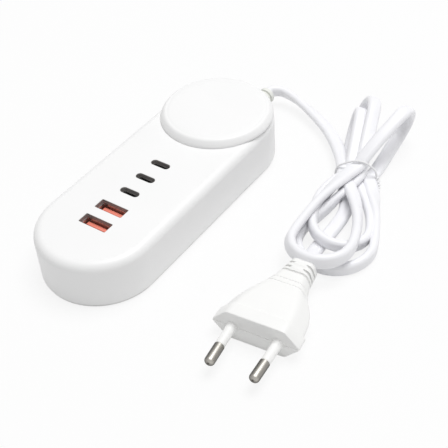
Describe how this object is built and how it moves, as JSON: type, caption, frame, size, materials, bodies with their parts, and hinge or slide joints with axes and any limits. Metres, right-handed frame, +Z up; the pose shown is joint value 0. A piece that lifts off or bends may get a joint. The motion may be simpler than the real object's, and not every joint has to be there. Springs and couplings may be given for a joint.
{
  "type": "multi port usb charger",
  "caption": "Long desktop charger with sockets along its top, a raised round pad at one end and a flat mains lead, bundled with a tie, that ends in a slim round-pin plug.",
  "frame": {"origin": "under the middle of the charger's body, on the table that its feet stand on", "axes": "+Y along the body towards the round pad and the lead, +X across it, +Z up"},
  "size_m": [0.1175, 0.1671, 0.0256],
  "materials": {
    "housing": "satin white moulding",
    "base": "fine matt white moulding",
    "foot": "matt grey rubber",
    "pad": "satin white moulding",
    "screw": "zinc plated",
    "copper": "enamelled copper wire",
    "ferrite": "dull dark ferrite",
    "board": "green lacquer",
    "link_pin": "gold flashed",
    "shell": "bright nickel plated sheet",
    "orange_tongue": "orange red moulding",
    "contact": "gold flashed",
    "dark_blade": "black moulding",
    "winding_tape": "yellow tape",
    "can_sleeve": "shrunk sleeve",
    "chip_case": "black moulding",
    "fuse_glass": "ceramic tube with end caps",
    "disc_coat": "blue lacquer",
    "sink": "plain extruded",
    "wire_skin": "insulated wire",
    "gland": "soft white moulding",
    "cord": "smooth white sheath",
    "tie": "white coated wire",
    "plug": "satin white moulding",
    "pin": "nickel plated",
    "sleeve": "white sleeve"
  },
  "bodies": {
    "root": {"upper_housing": "housing", "base_cover": "base", "housing_screws": "screw", "foot_1": "foot", "foot_2": "foot", "foot_3": "foot", "foot_4": "foot", "pad_cap": "pad", "charging_coil": "copper", "ferrite_plate": "ferrite", "coil_leads": "copper", "socket_board": "board", "power_board": "board", "board_link": "link_pin", "large_shell_1": "shell", "large_shell_2": "shell", "large_tongue_1": "orange_tongue", "large_tongue_2": "orange_tongue", "large_contacts_1": "contact", "large_contacts_2": "contact", "small_shell_1": "shell", "small_shell_2": "shell", "small_shell_3": "shell", "small_blade_1": "dark_blade", "small_blade_2": "dark_blade", "small_blade_3": "dark_blade", "transformer_core": "ferrite", "transformer_winding": "winding_tape", "input_capacitor_1": "can_sleeve", "input_capacitor_2": "can_sleeve", "output_capacitor_1": "can_sleeve", "output_capacitor_2": "can_sleeve", "bridge_rectifier": "chip_case", "mains_fuse": "fuse_glass", "line_choke": "copper", "safety_capacitor": "disc_coat", "power_transistor": "chip_case", "heat_sink": "sink", "charge_controller": "chip_case", "storage_choke": "ferrite", "mains_wires": "wire_skin", "cord_gland": "gland", "cord_lead": "cord", "cord_hank": "cord", "cord_tail": "cord", "cord_tie": "tie", "plug_body": "plug", "plug_pin_1": "pin", "plug_pin_2": "pin", "pin_sleeve_1": "sleeve", "pin_sleeve_2": "sleeve"}
  },
  "joints": []
}
